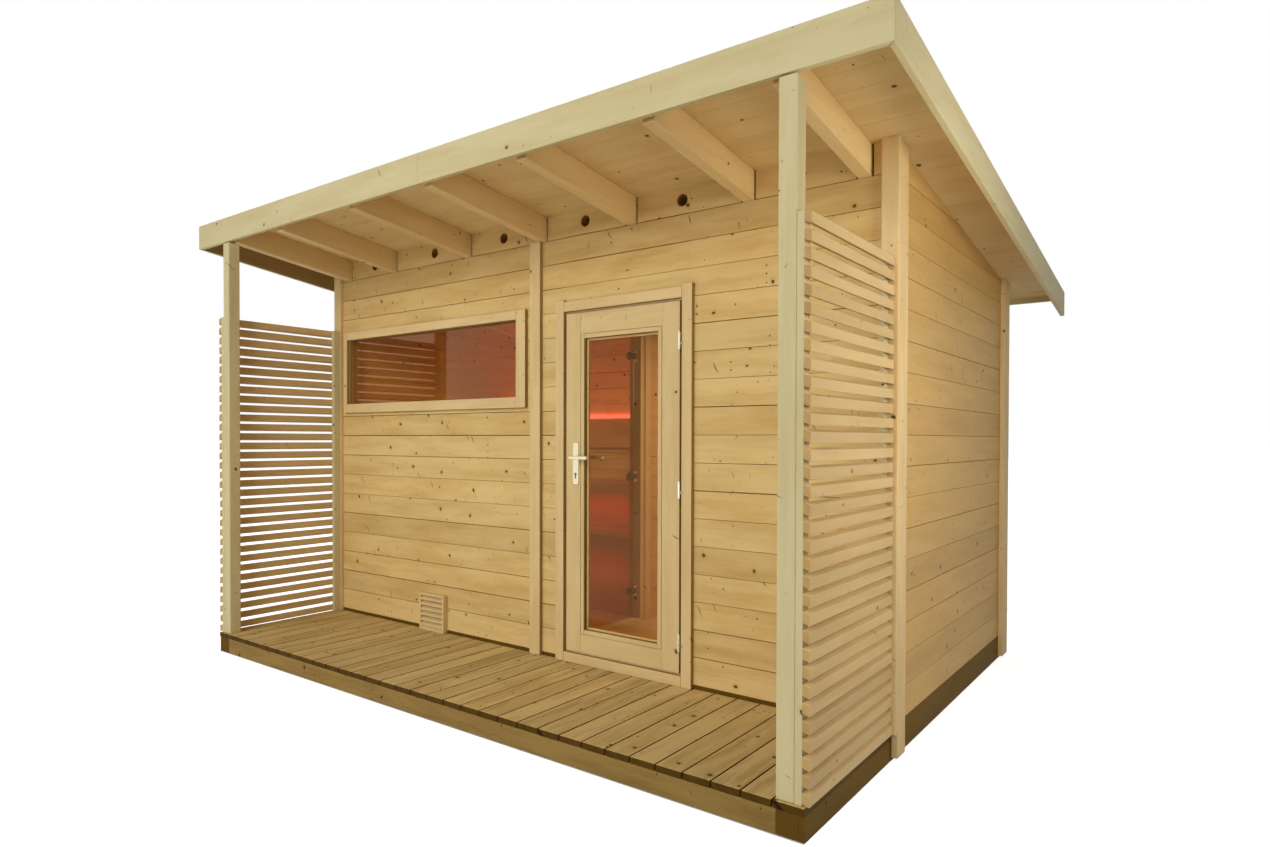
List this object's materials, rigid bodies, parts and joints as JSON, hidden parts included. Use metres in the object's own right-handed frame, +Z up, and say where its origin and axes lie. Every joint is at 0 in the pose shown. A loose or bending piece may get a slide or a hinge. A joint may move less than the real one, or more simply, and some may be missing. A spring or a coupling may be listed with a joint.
{
  "type": "outdoor sauna cabin",
  "caption": "Timber garden sauna cabin with a pent roof over a front terrace, slatted side screens, glazed door, wide window and a hot room with stepped benches.",
  "frame": {"origin": "on the ground, under the middle of the bounding box", "axes": "+Z up, the terrace and door face -Y, +X to the right as seen from the front"},
  "size_m": [4.492, 3.257, 2.697],
  "materials": {
    "planed_spruce": "untreated planed spruce, matt, with fine grain and knots",
    "impregnated_timber": "brown impregnated timber, matt",
    "bench_timber": "smooth untreated bench timber",
    "glass": "clear, smooth",
    "satin_steel": "satin steel",
    "roofing_felt": "dark mineral felt, matt",
    "light_strip": "frosted cover over red light"
  },
  "bodies": {
    "cabin": {"backrest": "bench_timber", "bargeboard_left": "planed_spruce", "bargeboard_right": "planed_spruce", "cabin_floor": "planed_spruce", "cabin_frame": "impregnated_timber", "centre_trim": "planed_spruce", "corner_trim_front_left": "planed_spruce", "corner_trim_front_right": "planed_spruce", "corner_trim_rear_left": "planed_spruce", "corner_trim_rear_right": "planed_spruce", "door_frame": "planed_spruce", "door_hinge_bottom_lower": "satin_steel", "door_hinge_middle_lower": "satin_steel", "door_hinge_top_lower": "satin_steel", "door_trim": "planed_spruce", "front_fascia": "planed_spruce", "front_wall_left": "planed_spruce", "front_wall_over_door": "planed_spruce", "front_wall_right": "planed_spruce", "inner_door_frame": "planed_spruce", "left_wall": "planed_spruce", "light_strip": "light_strip", "lower_bench": "bench_timber", "partition_front": "planed_spruce", "partition_over_door": "planed_spruce", "partition_rear": "planed_spruce", "post_left": "planed_spruce", "post_right": "planed_spruce", "rear_fascia": "planed_spruce", "rear_wall": "planed_spruce", "right_wall": "planed_spruce", "roof_boards": "planed_spruce", "roof_covering": "roofing_felt", "roof_frame": "planed_spruce", "screen_left": "planed_spruce", "screen_right": "planed_spruce", "terrace_deck": "impregnated_timber", "terrace_frame": "impregnated_timber", "upper_bench": "bench_timber", "vent_grille": "planed_spruce", "window_frame": "planed_spruce", "window_glass": "glass", "window_trim": "planed_spruce"},
    "door": {"door_leaf": "planed_spruce", "door_glass": "glass", "handle_plate_inside": "satin_steel", "handle_plate_outside": "satin_steel", "door_hinge_bottom_upper": "satin_steel", "door_hinge_middle_upper": "satin_steel", "door_hinge_top_upper": "satin_steel"},
    "lever": {"door_lever": "satin_steel"},
    "inner_door": {"inner_door_glass": "glass", "inner_door_hinge_bottom": "satin_steel", "inner_door_hinge_middle": "satin_steel", "inner_door_hinge_top": "satin_steel", "inner_door_knob": "bench_timber"}
  },
  "joints": [
    {"name": "door_hinge", "type": "hinge", "parent": "cabin", "child": "door", "pos_m": [0.935, -0.8125, 1], "axis": [0, 0, 1], "range_deg": [0, 160]},
    {"name": "lever_turn", "type": "hinge", "parent": "door", "child": "lever", "pos_m": [0.26, -0.7945, 1.232], "axis": [0, 1, 0], "range_deg": [0, 40], "stiffness_Nm_per_rad": 1.2, "springref_deg": -20.05},
    {"name": "inner_door_hinge", "type": "hinge", "parent": "cabin", "child": "inner_door", "pos_m": [-0.029, 0.1225, 1], "axis": [0, 0, 1], "range_deg": [0, 110]}
  ]
}
